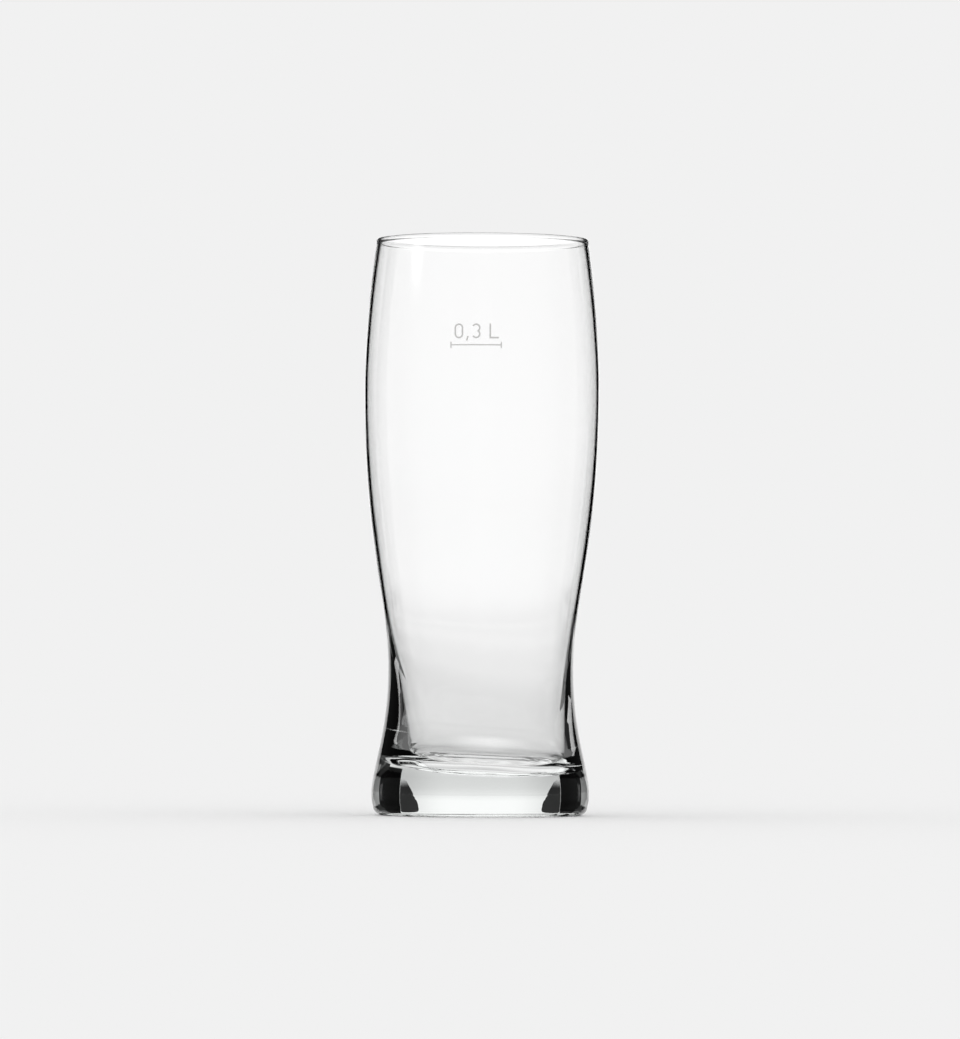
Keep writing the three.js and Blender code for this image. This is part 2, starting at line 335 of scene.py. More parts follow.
@dataclass
class TumblerBody:
    """The one-piece glass: heavy foot, waisted wall and round lip. Sizes are in metres.

    A pull is the share of a curve's height that its handle takes at that end.
    """

    height: float
    belly_radius: float
    rim_radius: float = 30.2 * MM
    rim_lean: float = 0.18
    belly_drop: float = 42.7 * MM
    waist_radius: float = 26.3 * MM
    waist_height: float = 41.7 * MM
    foot_radius: float = 30.95 * MM
    foot_height: float = 6.5 * MM
    foot_tuck: float = 0.45 * MM
    corner_round: float = 2.6 * MM
    ring_width: float = 3.0 * MM
    hollow_depth: float = 1.6 * MM
    wall: float = 1.2 * MM
    belly_wall: float = 0.75 * MM
    lip_bead: float = 0.3 * MM
    well_wall: float = 3.6 * MM
    floor_height: float = 9.3 * MM
    floor_dish: float = 2.0 * MM
    well_round: float = 6.0 * MM
    well_drift: float = 1.3 * MM
    floor_slope: float = 0.045
    drift_rise: float = 46.0 * MM
    foot_pull: float = 0.2
    waist_pull_below: float = 0.52
    waist_pull_above: float = 0.24
    belly_pull_below: float = 0.57
    belly_pull_above: float = 0.38
    lip_pull: float = 0.12
    well_pull: float = 0.12
    ring_depth: float = 0.16 * MM
    ring_pitch: float = 2.6 * MM
    ring_start: float = 10.4 * MM
    ring_full: float = 15.6 * MM
    ripple_depth: float = 0.2 * MM
    ripple_reach: float = 7.0 * MM
    turn_steps: int = 192
    curve_steps: int = 26
    arc_steps: int = 10
    outline: list[Point] = field(init=False, repr=False)

    def __post_init__(self) -> None:
        """Keeps the outside section, which several methods read."""
        self.outline = self.outer_section()

    @classmethod
    def from_frame(cls) -> "TumblerBody":
        """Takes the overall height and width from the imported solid."""
        low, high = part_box("tumbler_body")
        return cls(height=high[2] - low[2], belly_radius=(high[0] - low[0]) / 2)

    def outer_section(self) -> list[Point]:
        """Draws the half section from the middle of the underside, up the outside to the lip.

        Returns:
            Radius and height of each point.
        """
        corner_radius = self.foot_radius - self.foot_tuck
        ring_outer = corner_radius - self.corner_round
        ring_inner = ring_outer - self.ring_width
        foot = (self.foot_radius, self.foot_height)
        waist = (self.waist_radius, self.waist_height)
        belly_height = self.height - self.belly_drop
        belly = (self.belly_radius, belly_height)
        low_span = self.waist_height - self.foot_height
        mid_span = belly_height - self.waist_height
        lip = self.lip_end(outside=True)
        top_span = lip[1] - belly_height
        lip_reach = self.lip_pull * top_span
        points = [(0.0, self.hollow_depth)]
        third = ring_inner / 3
        points += bezier(
            points[0],
            (third, self.hollow_depth),
            (2 * third, self.hollow_depth * 2 / 3),
            (ring_inner, 0.0),
            self.curve_steps,
        )
        points.append((ring_outer, 0.0))
        points += arc(
            (ring_outer, self.corner_round), self.corner_round, -math.pi / 2, 0.0, self.arc_steps
        )
        tuck = (self.foot_radius, (self.corner_round + self.foot_height) / 2)
        points += bezier(points[-1], tuck, tuck, foot, self.arc_steps)
        points += bezier(
            foot,
            (foot[0], foot[1] + self.foot_pull * low_span),
            (waist[0], waist[1] - self.waist_pull_below * low_span),
            waist,
            self.curve_steps,
        )
        points += bezier(
            waist,
            (waist[0], waist[1] + self.waist_pull_above * mid_span),
            (belly[0], belly[1] - self.belly_pull_below * mid_span),
            belly,
            self.curve_steps,
        )
        points += bezier(
            belly,
            (belly[0], belly[1] + self.belly_pull_above * top_span),
            (lip[0] + self.rim_lean * lip_reach, lip[1] - lip_reach),
            lip,
            self.curve_steps,
        )
        return points

    def lip_arc(self) -> tuple[Point, float, float, float]:
        """Works out the round of the lip.

        Returns:
            Its centre, radius, first angle and last angle.
        """
        lean = math.atan(self.rim_lean)
        radius = (self.wall + self.lip_bead) / 2
        wrap = math.acos(self.wall / (self.wall + self.lip_bead))
        centre = (self.rim_radius - self.wall / 2, self.height - radius)
        return centre, radius, lean - wrap, lean + math.pi + wrap

    def lip_end(self, outside: bool) -> Point:
        """Finds the place where the lip meets the wall.

        Args:
            outside: Whether it is the outside of the wall or the inside.

        Returns:
            Radius and height of that place.
        """
        centre, radius, first, last = self.lip_arc()
        angle = first if outside else last
        return (centre[0] + radius * math.cos(angle), centre[1] + radius * math.sin(angle))

    def inner_section(self) -> list[Point]:
        """Draws the half section over the lip and down the inside to the middle of the floor.

        Returns:
            Radius and height of each point.
        """
        well_radius = self.waist_radius - self.well_wall
        floor_edge = self.floor_height + self.floor_dish
        floor_radius = well_radius - self.well_round
        belly_height = self.height - self.belly_drop
        belly = (self.belly_radius - self.belly_wall, belly_height)
        well = (well_radius, floor_edge + self.well_round)
        span = belly_height - self.waist_height
        lip = self.lip_end(outside=False)
        top_span = lip[1] - belly_height
        lip_reach = self.lip_pull * top_span
        points = arc(*self.lip_arc(), 2 * self.arc_steps)
        points += bezier(
            lip,
            (lip[0] + self.rim_lean * lip_reach, lip[1] - lip_reach),
            (belly[0], belly[1] + self.belly_pull_above * top_span),
            belly,
            self.curve_steps,
        )
        points += bezier(
            belly,
            (belly[0], belly[1] - self.belly_pull_below * span),
            (well[0], self.waist_height + self.well_pull * span),
            well,
            2 * self.curve_steps,
        )
        points += arc(
            (floor_radius, well[1]), self.well_round, 0.0, -math.pi / 2, self.arc_steps
        )
        third = floor_radius / 3
        points += bezier(
            (floor_radius, floor_edge),
            (2 * third, self.floor_height + self.floor_dish / 3),
            (third, self.floor_height),
            (0.0, self.floor_height),
            2 * self.curve_steps,
        )
        return points

    def wall_radius(self, height: float) -> float:
        """Finds the outside radius of the wall.

        Args:
            height: Height above the table.

        Returns:
            The radius there.
        """
        wall = self.outline[-3 * self.curve_steps :]
        place = bisect_right(wall, height, key=lambda point: point[1])
        low, high = wall[place - 1], wall[min(place, len(wall) - 1)]
        share = (height - low[1]) / (high[1] - low[1])
        return low[0] + share * (high[0] - low[0])

    def settle_well(self, piece: bpy.types.Object, inside: set[int]) -> None:
        """Shifts and tips the floor and the lower inside wall, as the soft glass settled.

        Args:
            piece: The spun glass.
            inside: Indices of the vertices on the inside.
        """
        top = self.floor_height + self.drift_rise
        for vertex in piece.data.vertices:
            share = 1 - smooth_share(vertex.co.z, self.floor_height, top)
            if vertex.index in inside and share > 0:
                across = vertex.co.x
                vertex.co.z += self.floor_wave(vertex.co) - self.floor_slope * across * share
                vertex.co.x += self.well_drift * share

    def floor_wave(self, place: Vector) -> float:
        """Works out the rings and ripples that the plunger left on the floor of the well.

        Args:
            place: A place on the inside of the glass.

        Returns:
            How far the surface stands up there.
        """
        edge = self.floor_height + self.floor_dish
        near = 1 - smooth_share(place.z, edge, edge + self.well_round)
        radius = math.hypot(place.x, place.y)
        ring = self.ring_depth * math.cos(2 * math.pi * radius / self.ring_pitch)
        ripple = self.ripple_depth * noise.noise(place / self.ripple_reach)
        return near * (ring * smooth_share(radius, self.ring_start, self.ring_full) + ripple)

    def inside_vertices(self, piece: bpy.types.Object) -> set[int]:
        """Finds the vertices of the inside wall and floor, below the lip.

        Args:
            piece: The spun glass.

        Returns:
            Their indices.
        """
        found = set()
        lip_low = self.height - self.wall - self.lip_bead
        for vertex in piece.data.vertices:
            if self.floor_height - MM < vertex.co.z < lip_low:
                radius = math.hypot(vertex.co.x, vertex.co.y)
                if radius < self.wall_radius(vertex.co.z) - self.belly_wall / 2:
                    found.add(vertex.index)
        return found

    def build(self) -> bpy.types.Object:
        """Draws the half section, spins it round and settles the well.

        Returns:
            The finished glass.
        """
        section = [Vector((r, 0, z)) for r, z in self.outline + self.inner_section()]
        piece = start_vertex("tumbler_glass", section[0])
        for before, after in pairwise(section):
            extrude_by(after - before)
        bpy.ops.mesh.select_all(action="SELECT")
        bpy.ops.mesh.spin(
            steps=self.turn_steps, angle=2 * math.pi, center=(0, 0, 0), axis=(0, 0, 1)
        )
        close_mesh()
        self.settle_well(piece, self.inside_vertices(piece))
        bpy.ops.object.shade_smooth()
        return piece

    def dress(self, piece: bpy.types.Object, finish: SodaLimeGlass) -> None:
        """Gives the glass its finish and ties it to the frame.

        Args:
            piece: The finished glass.
            finish: What it is made of.
        """
        piece.data.materials.append(finish.material())
        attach(piece, BODY)
        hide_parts("tumbler_body")


# The printed fill mark


class Mark(Enum):
    """The printed deposits, by the name of their node."""

    LINE = "fill_line"
    ZERO = "capacity_zero"
    COMMA = "capacity_comma"
    THREE = "capacity_three"
    LITRE = "capacity_litre"


@dataclass
class CapacityMark:
    """Fill line with its capacity in litres, printed on the front of the wall. Sizes are in metres."""

    body: TumblerBody
    fill_drop: float = 31.7 * MM
    shift: float = -1.7 * MM
    line_length: float = 14.5 * MM
    line_stroke: float = 0.35 * MM
    tick_height: float = 1.75 * MM
    figure_rise: float = 1.8 * MM
    figure_height: float = 4.2 * MM
    figure_stroke: float = 0.46 * MM
    zero_width: float = 2.5 * MM
    zero_offset: float = -4.85 * MM
    comma_offset: float = -2.45 * MM
    comma_length: float = 1.3 * MM
    comma_tail: float = 0.22 * MM
    three_open: float = math.radians(150)
    three_meet: float = math.radians(60)
    litre_offset: float = 5.05 * MM
    litre_width: float = 2.65 * MM
    film: float = 0.1 * MM
    clearance: float = 0.1 * MM
    bevel_angle: float = math.radians(50)
    smooth_angle: float = math.radians(40)
    arc_steps: int = 20
    line_steps: int = 36
    tick_steps: int = 4
    comma_steps: int = 4
    stem_steps: int = 8
    foot_steps: int = 6

    def on_wall(self, point: Point) -> Vector:
        """Lays a flat point of the print on the wall.

        Args:
            point: Distance across and height above the fill line.

        Returns:
            The place in the middle of the film.
        """
        height = self.body.height - self.fill_drop + point[1]
        wall = self.body.wall_radius(height)
        turn = (self.shift + point[0]) / wall
        radius = wall + self.clearance + self.film / 2
        return Vector((radius * math.sin(turn), -radius * math.cos(turn), height))

    def straight(self, begin: Point, end: Point, steps: int) -> list[Point]:
        """Gives evenly spaced points from one place to another, both ends included."""
        shares = [i / steps for i in range(steps + 1)]
        return [tuple(a + s * (b - a) for a, b in zip(begin, end)) for s in shares]

    def paths(self, mark: Mark) -> tuple[float, list[list[Point]]]:
        """Draws the strokes of a mark.

        Args:
            mark: Which one.

        Returns:
            The width of its strokes and their middle lines.
        """
        low = self.figure_rise + self.figure_stroke / 2
        high = self.figure_rise + self.figure_height - self.figure_stroke / 2
        if mark is Mark.LINE:
            end = (self.line_length - self.line_stroke) / 2
            inner = end - self.line_stroke / 2
            half = self.tick_height / 2
            bar = self.straight((-inner, 0.0), (inner, 0.0), self.line_steps)
            ticks = [self.straight((x, -half), (x, half), self.tick_steps) for x in (-end, end)]
            return self.line_stroke, [bar, *ticks]
        if mark is Mark.ZERO:
            radius = (self.zero_width - self.figure_stroke) / 2
            middle = self.zero_offset
            top = arc((middle, high - radius), radius, 0.0, math.pi, self.arc_steps)
            foot = arc((middle, low + radius), radius, math.pi, 2 * math.pi, self.arc_steps)
            first = (middle + radius, high - radius)
            left = (middle - radius, low + radius)
            return self.figure_stroke, [[first, *top, left, *foot, first]]
        if mark is Mark.COMMA:
            head = (self.comma_offset + self.comma_tail, low + self.comma_length / 3)
            tail = (self.comma_offset - self.comma_tail, low - self.comma_length * 2 / 3)
            return self.figure_stroke, [self.straight(head, tail, self.comma_steps)]
        if mark is Mark.THREE:
            radius = (high - low) / (2 + 2 * math.sin(self.three_meet))
            upper = ((0.0, high - radius), radius, self.three_open, -self.three_meet)
            lower = ((0.0, low + radius), radius, self.three_meet, -self.three_open)
            reach, lift = radius * math.cos(self.three_open), radius * math.sin(self.three_open)
            first = (reach, high - radius + lift)
            path = [first, *arc(*upper, self.arc_steps), *arc(*lower, self.arc_steps)]
            return self.figure_stroke, [path]
        stem = self.litre_offset - (self.litre_width - self.figure_stroke) / 2
        foot_end = self.litre_offset + self.litre_width / 2
        rise = self.figure_stroke / 2
        upright = self.straight((stem, low - rise), (stem, high + rise), self.stem_steps)
        foot = self.straight((stem + rise, low), (foot_end, low), self.foot_steps)
        return self.figure_stroke, [upright, foot]

    def rails(self, path: list[Point], stroke: float) -> tuple[list[Point], list[Point]]:
        """Gives the two sides of a stroke.

        Args:
            path: Middle line. A closed one ends where it starts.
            stroke: Width of the stroke.

        Returns:
            The left side and the right side, a point for each point of the path.
        """
        closed = math.dist(path[0], path[-1]) < WELD
        left, right = [], []
        for i, here in enumerate(path):
            before = path[i - 1] if i else path[-2 if closed else 0]
            after = path[i + 1] if i + 1 < len(path) else path[1 if closed else -1]
            along = Vector((after[0] - before[0], after[1] - before[1])).normalized()
            aside = Vector((-along.y, along.x)) * (stroke / 2)
            left.append((here[0] + aside.x, here[1] + aside.y))
            right.append((here[0] - aside.x, here[1] - aside.y))
        return left, right

    def lay_stroke(self, name: str, path: list[Point], stroke: float) -> bpy.types.Object:
        """Draws one side of a stroke on the wall, pulls it out to the other side and thickens it.

        Args:
            name: Name of the new object.
            path: Middle line of the stroke.
            stroke: Width of the stroke.

        Returns:
            The stroke as a closed film.
        """
        left, right = ([self.on_wall(p) for p in rail] for rail in self.rails(path, stroke))
        piece = start_vertex(name, left[0])
        for before, after in pairwise(left):
            extrude_by(after - before)
        bpy.ops.mesh.select_all(action="SELECT")
        extrude_by(Vector((0, 0, 0)))
        bpy.ops.object.mode_set(mode="OBJECT")
        pulled = [vertex for vertex in piece.data.vertices if vertex.select]
        for vertex in pulled:
            nearest = min(range(len(left)), key=lambda i: (left[i] - vertex.co).length)
            vertex.co = right[nearest]
        bpy.ops.object.mode_set(mode="EDIT")
        close_mesh()
        apply_modifier(piece, "SOLIDIFY", thickness=self.film, offset=0.0, use_even_offset=True)
        return piece

    def build(self, mark: Mark) -> bpy.types.Object:
        """Builds one deposit of the print.

        Args:
            mark: Which one.

        Returns:
            The finished piece.
        """
        stroke, paths = self.paths(mark)
        pieces = [self.lay_stroke(f"{mark.value}_enamel", path, stroke) for path in paths]
        bpy.ops.object.select_all(action="DESELECT")
        for piece in pieces:
            piece.select_set(True)
        bpy.context.view_layer.objects.active = pieces[0]
        if len(pieces) > 1:
            bpy.ops.object.join()
        piece = pieces[0]
        bpy.ops.object.mode_set(mode="EDIT")
        close_mesh()
        apply_modifier(
            piece,
            "BEVEL",
            width=self.film / 4,
            segments=2,
            limit_method="ANGLE",
            angle_limit=self.bevel_angle,
        )
        bpy.ops.object.shade_smooth_by_angle(angle=self.smooth_angle)
        return piece

    def dress(self, piece: bpy.types.Object, mark: Mark, finish: bpy.types.Material) -> None:
        """Gives a deposit its finish and ties it to the frame.

        Args:
            piece: The finished deposit.
            mark: Which one it is.
            finish: The enamel.
        """
        piece.data.materials.append(finish)
        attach(piece, BODY)
        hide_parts(mark.value)


# The studio


@dataclass(frozen=True)
class Falloff:
    """How the light of a panel falls off towards its foot and its sides. Sizes are in metres."""

    foot_tone: float
    low: float
    high: float
    near: float = 0.7
    far: float = 2.4
    side_loss: float = 0.2

    def tone(self, tree: bpy.types.NodeTree, full: float) -> bpy.types.NodeSocket:
        """Works out the tone at each place of a panel.

        Args:
            tree: Node tree to add to.
            full: Tone above the fade, in the middle of the panel.

        Returns:
            The socket to link from.
        """
        place = add_node(tree, "ShaderNodeTexCoord")
        axes = add_node(tree, "ShaderNodeSeparateXYZ", {0: place.outputs["Object"]})
        fade = add_node(
            tree,
            "ShaderNodeMapRange",
            {
                "Value": axes.outputs["Z"],
                "From Min": self.low,
                "From Max": self.high,
                "To Min": self.foot_tone,
                "To Max": full,
            },
            interpolation_type="SMOOTHSTEP",
        )
        aside = add_node(tree, "ShaderNodeMath", {0: axes.outputs["X"]}, operation="ABSOLUTE")
        dim = add_node(
            tree,
            "ShaderNodeMapRange",
            {
                "Value": aside.outputs[0],
                "From Min": self.near,
                "From Max": self.far,
                "To Min": 1.0,
                "To Max": 1 - self.side_loss,
            },
            interpolation_type="SMOOTHSTEP",
        )
        both = add_node(
            tree, "ShaderNodeMath", {0: fade.outputs[0], 1: dim.outputs[0]}, operation="MULTIPLY"
        )
        return both.outputs[0]


@dataclass(frozen=True)
class PaintedRings:
    """Painted rings of light and shade round the axis of the glass. The pitch is in metres."""

    pitch: float
    share: float

    def tone(self, tree: bpy.types.NodeTree, full: float) -> bpy.types.NodeSocket:
        """Works out the tone at each place of a card.

        Args:
            tree: Node tree to add to.
            full: Tone between the painted light rings and the painted shade rings.

        Returns:
            The socket to link from.
        """
        place = add_node(tree, "ShaderNodeTexCoord")
        away = add_node(
            tree, "ShaderNodeVectorMath", {0: place.outputs["Object"]}, operation="LENGTH"
        )
        turn = add_node(
            tree,
            "ShaderNodeMath",
            {0: away.outputs["Value"], 1: 2 * math.pi / self.pitch},
            operation="MULTIPLY",
        )
        wave = add_node(tree, "ShaderNodeMath", {0: turn.outputs[0]}, operation="COSINE")
        tone = add_node(
            tree,
            "ShaderNodeMath",
            {0: wave.outputs[0], 1: full * self.share, 2: full},
            operation="MULTIPLY_ADD",
        )
        return tone.outputs[0]


@dataclass(frozen=True)
class Glow:
    """A soft spot of light without an edge, added to what lies behind it. Sizes are in metres."""

    centre: Place
    reach: Place

    def tone(self, tree: bpy.types.NodeTree, full: float) -> bpy.types.NodeSocket:
        """Works out the tone at each place of a card.

        Args:
            tree: Node tree to add to.
            full: Tone at the centre of the spot.

        Returns:
            The socket to link from.
        """
        place = add_node(tree, "ShaderNodeTexCoord")
        offset = add_node(
            tree,
            "ShaderNodeVectorMath",
            {0: place.outputs["Object"], 1: self.centre},
            operation="SUBTRACT",
        )
        share = add_node(
            tree, "ShaderNodeVectorMath", {0: offset.outputs[0], 1: self.reach}, operation="DIVIDE"
        )
        away = add_node(tree, "ShaderNodeVectorMath", {0: share.outputs[0]}, operation="LENGTH")
        soft = add_node(
            tree,
            "ShaderNodeMapRange",
            {"Value": away.outputs["Value"], "To Min": full, "To Max": 0.0},
            interpolation_type="SMOOTHSTEP",
        )
        return soft.outputs[0]


class Way(Enum):
    """How a flat card stands or lies, by the axis on which all of it is at one place."""

    BESIDE = 0
    BEHIND = 1
    LYING = 2


@dataclass(frozen=True)
class Card:
    """A card or light panel that only the glass sees. Sizes are in metres, tones are linear light.

    A card with a top fade turns clear between those two heights. One that is not in the table
    shows through the glass, but not in what the glass or the table reflects.
    """

    name: str
    corners: tuple[Place, ...]
    tone: float
    shading: Falloff | PaintedRings | Glow | None = None
    top_fade: Point | None = None
    in_table: bool = True

    @classmethod
    def flat(
        cls, name: str, way: Way, edge: Outline, at: float, tone: float, **rest: object
    ) -> "Card":
        """Gives a flat card.

        Args:
            name: Name of the card.
            way: How it stands or lies.
            edge: Its corners, on the other two axes.
            at: Its place on the axis of its way.
            tone: How bright it is.
            **rest: Other fields of the card.

        Returns:
            The card.
        """
        axis = way.value
        return cls(name, tuple((*corner[:axis], at, *corner[axis:]) for corner in edge), tone, **rest)

    def mirrored(self) -> "Card":
        """Gives the same card on the left of the glass."""
        corners = tuple((-x, y, z) for x, y, z in self.corners)
        return replace(self, name=self.name.replace("right", "left"), corners=corners)

    def material(self) -> bpy.types.Material:
        """Builds the light of the card.

        Returns:
            The material.
        """
        material, tree = new_material(self.name)
        tone = self.shading.tone(tree, self.tone) if self.shading else self.tone
        surface = add_node(tree, "ShaderNodeEmission", {"Strength": tone})
        if isinstance(self.shading, Glow):
            clear = add_node(tree, "ShaderNodeBsdfTransparent")
            surface = add_node(
                tree, "ShaderNodeAddShader", {0: surface.outputs[0], 1: clear.outputs[0]}
            )
        if self.top_fade is not None:
            low, high = self.top_fade
            place = add_node(tree, "ShaderNodeTexCoord")
            axes = add_node(tree, "ShaderNodeSeparateXYZ", {0: place.outputs["Object"]})
            edge = add_node(
                tree,
                "ShaderNodeMapRange",
                {"Value": axes.outputs["Z"], "From Min": low, "From Max": high},
                interpolation_type="SMOOTHSTEP",
            )
            clear = add_node(tree, "ShaderNodeBsdfTransparent")
            surface = add_node(
                tree,
                "ShaderNodeMixShader",
                {0: edge.outputs[0], 1: surface.outputs[0], 2: clear.outputs[0]},
            )
        add_node(tree, "ShaderNodeOutputMaterial", {"Surface": surface.outputs[0]})
        return material


@dataclass
class Studio:
    """Pale floor, plain background and the cards that draw the edges of the glass."""

    floor_reach: float = 6.0
    floor_gap: float = 0.05 * MM
    paper: str = "F1F1F1"
    # Painted shade: how much the table reflects, by distance from the glass. It is darker close by, as the
    # glass's shadow, and full far off.
    painted_shade_sheen: tuple[Point, ...] = (
        (0.06, 0.65), (0.093, 0.7), (0.165, 0.765), (0.286, 0.85), (0.8, 0.905), (2.5, 1.0)
    )
    table_roughness: float = 0.02
    surround_tone: float = 0.1

    def through_glass(self, tree: bpy.types.NodeTree, path: bpy.types.Node) -> bpy.types.NodeSocket:
        """Gives 1 for what the camera sees in or through the glass, and 0 for light that falls on paper.

        Args:
            tree: Node tree to add to.
            path: Its Light Path node.

        Returns:
            The socket to link from.
        """
        glass = add_node(
            tree,
            "ShaderNodeMath",
            {0: path.outputs["Is Glossy Ray"], 1: path.outputs["Is Transmission Ray"]},
            operation="MAXIMUM",
        )
        first = add_node(
            tree, "ShaderNodeMath", {0: path.outputs["Diffuse Depth"], 1: 0.5}, operation="LESS_THAN"
        )
        both = add_node(
            tree, "ShaderNodeMath", {0: glass.outputs[0], 1: first.outputs[0]}, operation="MULTIPLY"
        )
        return both.outputs[0]

    def lay_floor(self) -> None:
        """Lays the floor: pale paper, which the glass sees as a sheeny table with painted shade close by.
        """
        bpy.ops.object.select_all(action="DESELECT")
        bpy.ops.mesh.primitive_plane_add(size=2 * self.floor_reach, location=(0, 0, -self.floor_gap))
        floor = bpy.context.object
        floor.name = "studio_floor"
        material, tree = new_material("pale_paper")
        pale = add_node(tree, "ShaderNodeBsdfDiffuse", {"Color": srgb(self.paper)})
        place = add_node(tree, "ShaderNodeTexCoord")
        away = add_node(
            tree, "ShaderNodeVectorMath", {0: place.outputs["Object"]}, operation="LENGTH"
        )
        # The ramp paints the glass's shade into the table's reflection: darker near the glass, full tone
        # far off.
        far = self.painted_shade_sheen[-1][0]
        along = add_node(tree, "ShaderNodeMath", {0: away.outputs["Value"], 1: far}, operation="DIVIDE")
        painted_shade_sheen = add_node(tree, "ShaderNodeValToRGB", {0: along.outputs[0]})
        stops = painted_shade_sheen.color_ramp.elements
        stops.remove(stops[1])
        for distance, tone in self.painted_shade_sheen:
            stops.new(distance / far).color = (tone, tone, tone, 1)
        stops.remove(stops[0])
        table = add_node(
            tree,
            "ShaderNodeBsdfAnisotropic",
            {"Color": painted_shade_sheen.outputs[0], "Roughness": self.table_roughness},
        )
        path = add_node(tree, "ShaderNodeLightPath")
        seen = add_node(
            tree,
            "ShaderNodeMixShader",
            {0: self.through_glass(tree, path), 1: pale.outputs[0], 2: table.outputs[0]},
        )
        add_node(tree, "ShaderNodeOutputMaterial", {"Surface": seen.outputs[0]})
        floor.data.materials.append(material)

    def light_world(self) -> None:
        """Lights the scene evenly from all round, with the paper's tone as background."""
        world = bpy.data.worlds.new("even_studio")
        bpy.context.scene.world = world
        world.use_nodes = True
        tree = world.node_tree
        tree.nodes.clear()
        path = add_node(tree, "ShaderNodeLightPath")
        even = add_node(tree, "ShaderNodeBackground", {"Color": (1, 1, 1, 1)})
        paper = add_node(tree, "ShaderNodeBackground", {"Color": srgb(self.paper)})
        tone = self.surround_tone
        surround = add_node(tree, "ShaderNodeBackground", {"Color": (tone, tone, tone, 1)})
        seen = add_node(
            tree,
            "ShaderNodeMixShader",
            {0: self.through_glass(tree, path), 1: even.outputs[0], 2: surround.outputs[0]},
        )
        final = add_node(
            tree,
            "ShaderNodeMixShader",
            {0: path.outputs["Is Camera Ray"], 1: seen.outputs[0], 2: paper.outputs[0]},
        )
        add_node(tree, "ShaderNodeOutputWorld", {"Surface": final.outputs[0]})

    def stand_card(self, card: Card, turntable: bpy.types.Object) -> None:
        """Stands one card on the turntable, seen by the glass alone.

        Args:
            card: Place, size and light.
            turntable: The empty that keeps the cards behind the glass.
        """
        bpy.ops.object.select_all(action="DESELECT")
        bpy.ops.mesh.primitive_circle_add(vertices=len(card.corners), fill_type="NGON")
        sheet = bpy.context.object
        sheet.name = card.name
        (corners,) = [face.vertices for face in sheet.data.polygons]
        for index, place in zip(corners, card.corners):
            sheet.data.vertices[index].co = place
        sheet.data.materials.append(card.material())
        sheet.visible_camera = False
        sheet.visible_diffuse = False
        sheet.visible_shadow = False
        sheet.visible_glossy = card.in_table
        sheet.parent = turntable

    def build(self, cards: list[Card], camera: bpy.types.Object) -> None:
        """Lays the floor, lights the world and stands the cards.

        Args:
            cards: The cards to stand.
            camera: The camera that the turntable faces.
        """
        self.lay_floor()
        self.light_world()
        bpy.ops.object.empty_add(location=(0, 0, 0))
        turntable = bpy.context.object
        turntable.name = "studio_turntable"
        facing = turntable.constraints.new("LOCKED_TRACK")
        facing.target = camera
        facing.track_axis = "TRACK_NEGATIVE_Y"
        facing.lock_axis = "LOCK_Z"
        for card in cards:
            self.stand_card(card, turntable)
            LOG.info("card %s", card.name)


@dataclass
class Camera:
    """The photograph's camera: far off, low, and looking slightly up. Sizes are in metres."""

    distance: float = 1952.5 * MM
    eye_height: float = 41.5 * MM
    aim_height: float = 84.1 * MM
    aim_across: float = -0.21 * MM
    roll: float = math.radians(-0.25)
    frame_height: float = 295.66 * MM
    sensor: float = 36.0
    sight: float = 100.0

    def build(self) -> bpy.types.Object:
        """Adds the camera and makes it the scene's own.

        Returns:
            The camera.
        """
        rise = self.aim_height - self.eye_height
        pitch = math.atan2(rise, self.distance)
        bpy.ops.object.camera_add(
            location=(self.aim_across, -self.distance, self.eye_height),
            rotation=(math.pi / 2 + pitch, self.roll, 0),
        )
        camera = bpy.context.object
        camera.name = "photo_camera"
        camera.data.sensor_width = self.sensor
        camera.data.lens = self.sensor * math.hypot(self.distance, rise) / self.frame_height
        camera.data.clip_end = self.sight
        bpy.context.scene.camera = camera
        return camera


